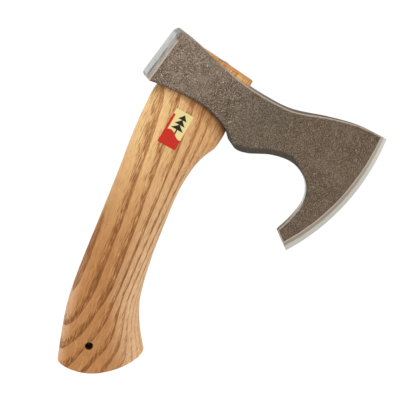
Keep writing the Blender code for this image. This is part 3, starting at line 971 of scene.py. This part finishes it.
def poll_colour(m, cheek):
    """A ground face with a dark line round it, a duller chamfer with a chipped edge, and a scaled top."""
    poll = m.attribute("poll")
    worn = m.plus(poll, m.swing(m.noise(380, 3), 0.16))
    drawn = m.band(m.noise(1.0, 3, 0.65, m.scaled(500, 1700, 110)), 0.34, 0.66)
    face = m.mix(drawn, (0.33, 0.33, 0.31), (0.56, 0.56, 0.54))
    face = m.layer(face, (0.58, 0.575, 0.55), worn, 0.78, 0.90, 0.35)
    groove = m.times(m.band(worn, 0.86, 0.99), m.band(m.noise(110, 2), 0.35, 0.58, 0.35, 0.95))
    face = m.mix(groove, face, (0.135, 0.130, 0.115))
    chamfer = m.mix(drawn, (0.24, 0.23, 0.20), (0.38, 0.365, 0.33))
    face = m.layer(face, chamfer, worn, 1.08, 1.42)
    chipped = m.plus(poll, m.swing(m.noise(650, 3, 0.6), 0.8))
    face = m.layer(face, (0.49, 0.385, 0.30), chipped, 1.60, 1.86, 0.85)
    face = m.layer(face, (0.14, 0.12, 0.095), m.speckle, 0.47, 0.38, 0.5)
    crown = m.times(m.band(m.z, 0.1150, 0.1180), m.band(worn, 1.25, 1.5))
    return m.mix(crown, face, m.darker(cheek, (0.80, 0.80, 0.80))), m.band(poll, 3.0, 2.5)


def forged_steel():
    """Scaled brown grey cheeks and outline, and a ground poll and edge."""
    m = Tree("forged_steel", Metallic=0.25, Specular_IOR_Level=0.2)
    m.along = m.attribute("along")
    m.low_rim = m.attribute("low_rim")
    m.strip = m.band(m.attribute("strip"), 0.3, 0.7)
    m.z = m.axes()[2]
    m.speckle = m.noise(1600, 4, 0.75)
    m.clump = m.noise(520, 5, 0.72)
    m.brushed = m.noise(1.0, 3, 0.65, m.scaled(300, 300, 1900))
    cheek, scale = cheek_rims(m, forged_cheek(m))
    edge, is_edge = ground_edge(m)
    poll, is_poll = poll_colour(m, cheek)
    colour = m.mix(m.strip, cheek, narrow_faces(m))
    colour = m.mix(is_edge, colour, edge)
    colour = m.mix(is_poll, colour, poll)
    is_ground = m.math("MAXIMUM", is_edge, is_poll)
    rough = m.mix_value(scale, m.band(m.speckle, 0.3, 0.7, 0.68, 0.52), 0.85)
    rough = m.mix_value(is_ground, rough, m.band(m.brushed, 0.3, 0.7, 0.46, 0.36))
    pits = m.plus(m.times(m.speckle, 0.7), m.times(m.clump, 0.9))
    height = m.mix_value(is_ground, pits, m.times(m.brushed, 0.10))
    return m.done(colour, rough, height, 0.0003, 0.65)


def wedge_steel():
    """Dark rolled steel, a little lighter where it is worn."""
    m = Tree("wedge_steel", Metallic=0.4, Specular_IOR_Level=0.25)
    worn = m.noise(900, 3, 0.6)
    colour = m.mix(worn, (0.060, 0.045, 0.032), (0.26, 0.20, 0.145))
    return m.done(colour, m.band(worn, 0.3, 0.7, 0.55, 0.38), worn, 0.0002, 0.7)


# -------- wood

def ring_bands(m):
    """The dark porous band of each growth ring, frayed on one side and crisp on the other."""
    ring = m.plus(m.attribute("ring"), m.swing(m.noise(1.0, 2, 0.5, m.scaled(220, 220, 40)), 0.12))
    ring = m.plus(ring, 0.08)
    part, whole = m.math("FRACT", ring), m.math("FLOOR", ring)
    chance = m.node("ShaderNodeTexWhiteNoise", {"W": whole}, "Value", noise_dimensions="1D")
    width = m.times(m.attribute("band"), m.band(m.z, 0.020, 0.060, 1.12, 1.45))
    frayed = m.plus(part, m.times(m.jag, m.times(width, 0.7)))
    left = m.band(frayed, m.minus(0.98, m.times(width, 1.25)), 0.90)
    crisp = m.plus(part, m.times(m.jag, 0.03))
    right = m.band(crisp, 0.995, 0.945)
    dark = m.times(m.times(m.math("POWER", left, 1.1), right), m.attribute("depth"))
    return m.times(dark, m.band(chance, 0.0, 1.0, 0.88, 1.0))


def ash_base(m):
    """Between the bands: tan at the butt, paler towards its front and towards the head. The darker butt and
    grip are partly the wood's tone and partly painted shadow of a hand; the darker front by the head is
    painted shade.
    """
    patch = m.noise(1.0, 3, 0.5, m.scaled(70, 70, 14))
    low_back = m.mix(patch, (0.392, 0.170, 0.053), (0.478, 0.225, 0.080))
    low_front = m.mix(patch, (0.62, 0.380, 0.195), (0.73, 0.470, 0.255))
    # Darker towards the back over most of the grip: partly the wood's tone, partly painted shadow of a hand.
    leaning = m.plus(m.x, m.times(m.math("MINIMUM", m.z, -0.055), 0.45))
    low = m.layer(low_back, low_front, leaning, -0.031, -0.006)
    # A painted highlight along the back edge of the butt.
    back_edge_highlight = m.times(m.band(m.attribute("side"), 0.11, 0.0), m.band(m.z, -0.030, -0.055))
    low = m.mix(m.times(back_edge_highlight, 0.6), low, (0.70, 0.46, 0.26))
    high_back = m.mix(patch, (0.73, 0.455, 0.195), (0.84, 0.57, 0.275))
    # Darker towards the front near the head: painted shade.
    high_front_shade = m.mix(patch, (0.56, 0.305, 0.120), (0.66, 0.385, 0.170))
    return m.mix(m.upper, low, m.layer(high_back, high_front_shade, m.x, -0.012, 0.018))


def tenon_side(m, colour):
    """The tenon's side, split into yellow and orange strips, with a painted shadow line along its top edge.
    """
    across = m.minus(m.times(m.x, HEAD_COS), m.times(m.z, HEAD_SIN))
    height = m.plus(m.times(m.x, HEAD_SIN), m.times(m.z, HEAD_COS))
    grain = m.join(m.times(across, 820), m.times(m.y, 300), m.times(height, 60))
    strips = m.noise(1.0, 3, 0.6, grain)
    side = m.layer((0.84, 0.54, 0.225), (0.66, 0.275, 0.072), strips, 0.48, 0.56)
    side = m.layer(side, (0.33, 0.105, 0.022), strips, 0.61, 0.67, 0.8)
    # Painted shadow: a dark line just under the tenon's top edge.
    top_shadow_edge = m.plus(height, m.times(strips, 0.0012))
    side = m.layer(side, (0.40, 0.150, 0.036), top_shadow_edge, TENON_TOP - 0.0013, TENON_TOP, 0.6)
    return m.layer(colour, side, height, TENON_TOP - 0.030, TENON_TOP - 0.028, 0.9)


def shade_under_head(m, colour):
    """Painted shade under the head: a wide brown shade, deeper towards the front, and a dark painted shadow
    line where the head bears on the shoulder.
    """
    under = m.attribute("under")
    painted_shade = m.math("POWER", m.fading(under, m.band(m.x, -0.010, 0.030, 3.0, 11.0)), 0.6)
    painted_shade = m.times(painted_shade, m.band(m.streak, 0.35, 0.6, 0.35, 0.9))
    colour = m.mix(painted_shade, colour, (0.25, 0.090, 0.026))
    # The painted shadow line right under the head's lower edge.
    line = m.fading(m.plus(under, m.times(m.jag, 0.25)), m.band(m.x, -0.010, 0.030, 1.1, 3.6))
    return m.mix(m.times(line, 0.9), colour, (0.050, 0.021, 0.008))


def lanyard_hole_shade(m, colour):
    """The wall of the lanyard hole, painted near black as the shade inside the hole."""
    aside = m.minus(m.x, MM * LANYARD[0])
    above = m.minus(m.z, MM * LANYARD[1])
    from_axis = m.math("SQRT", m.plus(m.times(aside, aside), m.times(above, above)))
    outer, inner = MM * (LANYARD_RADIUS + 0.45), MM * (LANYARD_RADIUS + 0.10)
    return m.layer(colour, (0.012, 0.006, 0.003), from_axis, outer, inner, 0.94)


def ash_wood():
    """Oiled ash with strong growth rings, pores and fine streaks."""
    m = Tree("ash_wood", Metallic=0.0, Specular_IOR_Level=0.18)
    m.x, m.y, m.z = m.axes()
    m.streak = m.noise(1.0, 3, 0.6, m.scaled(1250, 1250, 120))
    m.jag = m.swing(m.streak, 4.0)
    m.upper = m.band(m.z, -0.040, 0.075)
    hair = m.noise(1.0, 2, 0.6, m.scaled(2600, 2600, 170))
    dark, base = ring_bands(m), ash_base(m)
    colour = m.layer(base, m.darker(base, (0.74, 0.63, 0.50)), hair, 0.42, 0.62, 0.42)
    colour = m.layer(colour, m.mix(0.5, base, (0.86, 0.62, 0.38)), m.streak, 0.40, 0.30, 0.45)
    colour = m.layer(colour, (0.30, 0.115, 0.034), m.streak, 0.54, 0.66, 0.30)
    low_brown = m.layer((0.275, 0.094, 0.020), (0.150, 0.044, 0.007), m.streak, 0.35, 0.65)
    high_brown = m.layer((0.42, 0.160, 0.044), (0.27, 0.085, 0.018), m.streak, 0.35, 0.65)
    colour = m.mix(m.times(dark, 0.95), colour, m.mix(m.upper, low_brown, high_brown))
    # Pores: fine dark dashes, mostly in the bands.
    pore = m.times(m.band(hair, 0.55, 0.63), m.band(dark, 0.0, 0.5, 0.12, 0.6))
    colour = m.mix(pore, colour, (0.10, 0.034, 0.008))
    colour = lanyard_hole_shade(m, shade_under_head(m, tenon_side(m, colour)))
    rough = m.mix_value(dark, m.band(m.streak, 0.35, 0.65, 0.46, 0.58), 0.64)
    height = m.minus(m.times(m.streak, 0.4), m.times(pore, 1.2))
    return m.done(colour, rough, height, 0.00012, 0.7)


def wedge_wood():
    """End grain of a darker hardwood, sawn flush."""
    m = Tree("wedge_wood", Metallic=0.0, Specular_IOR_Level=0.3)
    rings = m.noise(1.0, 2, 0.5, m.scaled(900, 260, 90))
    grain = m.noise(2200, 2, 0.6)
    colour = m.mix(rings, (0.36, 0.14, 0.04), (0.66, 0.34, 0.13))
    colour = m.layer(colour, (0.20, 0.075, 0.022), grain, 0.5, 0.7, 0.6)
    return m.done(colour, m.band(grain, 0.3, 0.7, 0.55, 0.7), grain, 0.0001, 0.8)


# -------- paper and floor

def spruce(m, u, v):
    """Where the spruce is: stacked triangles on a stem, as a mask over the label."""
    aside = m.math("ABSOLUTE", m.minus(u, SPRUCE["u"]))
    height = m.times(m.minus(v, SPRUCE["foot"]), SPRUCE["stretch"])
    tier = m.math("FRACT", m.times(height, SPRUCE["tiers"]))
    width = m.times(m.minus(1.1, tier), m.minus(0.32, m.times(height, 0.15)))
    inside = m.times(m.math("GREATER_THAN", height, 0.0), m.math("LESS_THAN", height, 1.0))
    tree = m.times(inside, m.math("LESS_THAN", aside, width))
    stem = m.times(m.math("LESS_THAN", aside, 0.035), m.math("LESS_THAN", height, 0.05))
    return m.math("MAXIMUM", tree, stem)


def label_paper():
    """Pale yellow paper with a generic spruce, a red hill below it and a red bar up one side."""
    m = Tree("label_paper", Metallic=0.0, Specular_IOR_Level=0.2)
    u, v = m.attribute("label_u"), m.attribute("label_v")
    fibre = m.noise(1800, 3, 0.6)
    colour = m.mix(fibre, (0.62, 0.50, 0.20), (0.76, 0.64, 0.30))
    colour = m.mix(spruce(m, u, v), colour, (0.012, 0.010, 0.008))
    # The hill has a wavy crest, and the bar stops short of the top.
    crest = m.plus(0.36, m.times(m.math("SINE", m.times(u, 5.2)), 0.08))
    hill = m.math("LESS_THAN", v, crest)
    bar = m.times(m.math("LESS_THAN", u, 0.12), m.math("LESS_THAN", v, 0.84))
    red = m.mix(fibre, (0.42, 0.012, 0.005), (0.54, 0.025, 0.012))
    colour = m.mix(m.math("MAXIMUM", hill, bar), colour, red)
    return m.done(colour, m.band(fibre, 0.3, 0.7, 0.45, 0.6), fibre, 0.00004, 0.5)


def pale_floor():
    return Tree("pale_floor", Metallic=0.0, Specular_IOR_Level=0.1, Roughness=0.9,
                Base_Color=(0.97, 0.97, 0.97)).material


def wear(obj, material):
    obj.data.materials.clear()
    obj.data.materials.append(material)


# -------- stage

def add_camera():
    az, el, roll = CAMERA_AZIMUTH, CAMERA_ELEVATION, CAMERA_ROLL
    back = Vector((math.sin(az) * math.cos(el), -math.cos(az) * math.cos(el), math.sin(el)))
    level = Vector((math.cos(az), math.sin(az), 0))
    upright = back.cross(level)
    right = math.cos(roll) * level + math.sin(roll) * upright
    up = -math.sin(roll) * level + math.cos(roll) * upright
    camera = add_object("camera", bpy.data.cameras.new("camera"))
    matrix = Matrix((right, up, back)).transposed().to_4x4()
    matrix.translation = Vector(CAMERA_TARGET) + CAMERA_DISTANCE * back
    camera.matrix_world = matrix
    camera.data.lens = CAMERA_LENS
    camera.data.clip_start = 0.01
    bpy.context.scene.camera = camera


def add_key_light():
    data = bpy.data.lights.new("key", "AREA")
    data.shape = "DISK"
    data.size = KEY_SIZE
    data.energy = KEY_ENERGY
    lamp = add_object("key", data)
    lamp.location = KEY_AT
    lamp.rotation_mode = "QUATERNION"
    lamp.rotation_quaternion = (Vector(KEY_TARGET) - Vector(KEY_AT)).to_track_quat("-Z", "Y")


def add_floor():
    low, reach = CAD_BOX[0].z - FLOOR_BELOW, FLOOR_REACH
    mesh = bpy.data.meshes.new("floor")
    corners = [(-reach, -reach, low), (reach, -reach, low), (reach, reach, low), (-reach, reach, low)]
    mesh.from_pydata(corners, [], [(0, 1, 2, 3)])
    floor = add_object("floor", mesh)
    wear(floor, pale_floor())


def add_world():
    world = bpy.data.worlds.new("studio")
    bpy.context.scene.world = world
    world.use_nodes = True
    background = world.node_tree.nodes["Background"]
    background.inputs["Color"].default_value = (1, 1, 1, 1)
    background.inputs["Strength"].default_value = WORLD_STRENGTH
    bpy.context.scene.view_settings.view_transform = "Standard"


# -------- make

add_camera()
add_floor()
add_world()
add_key_light()
head = build_head()
handle = build_handle()
wooden = build_wooden_wedge()
steel = build_steel_wedge()
label = build_label(handle)
wear(head, forged_steel())
wear(handle, ash_wood())
wear(wooden, wedge_wood())
wear(steel, wedge_steel())
wear(label, label_paper())
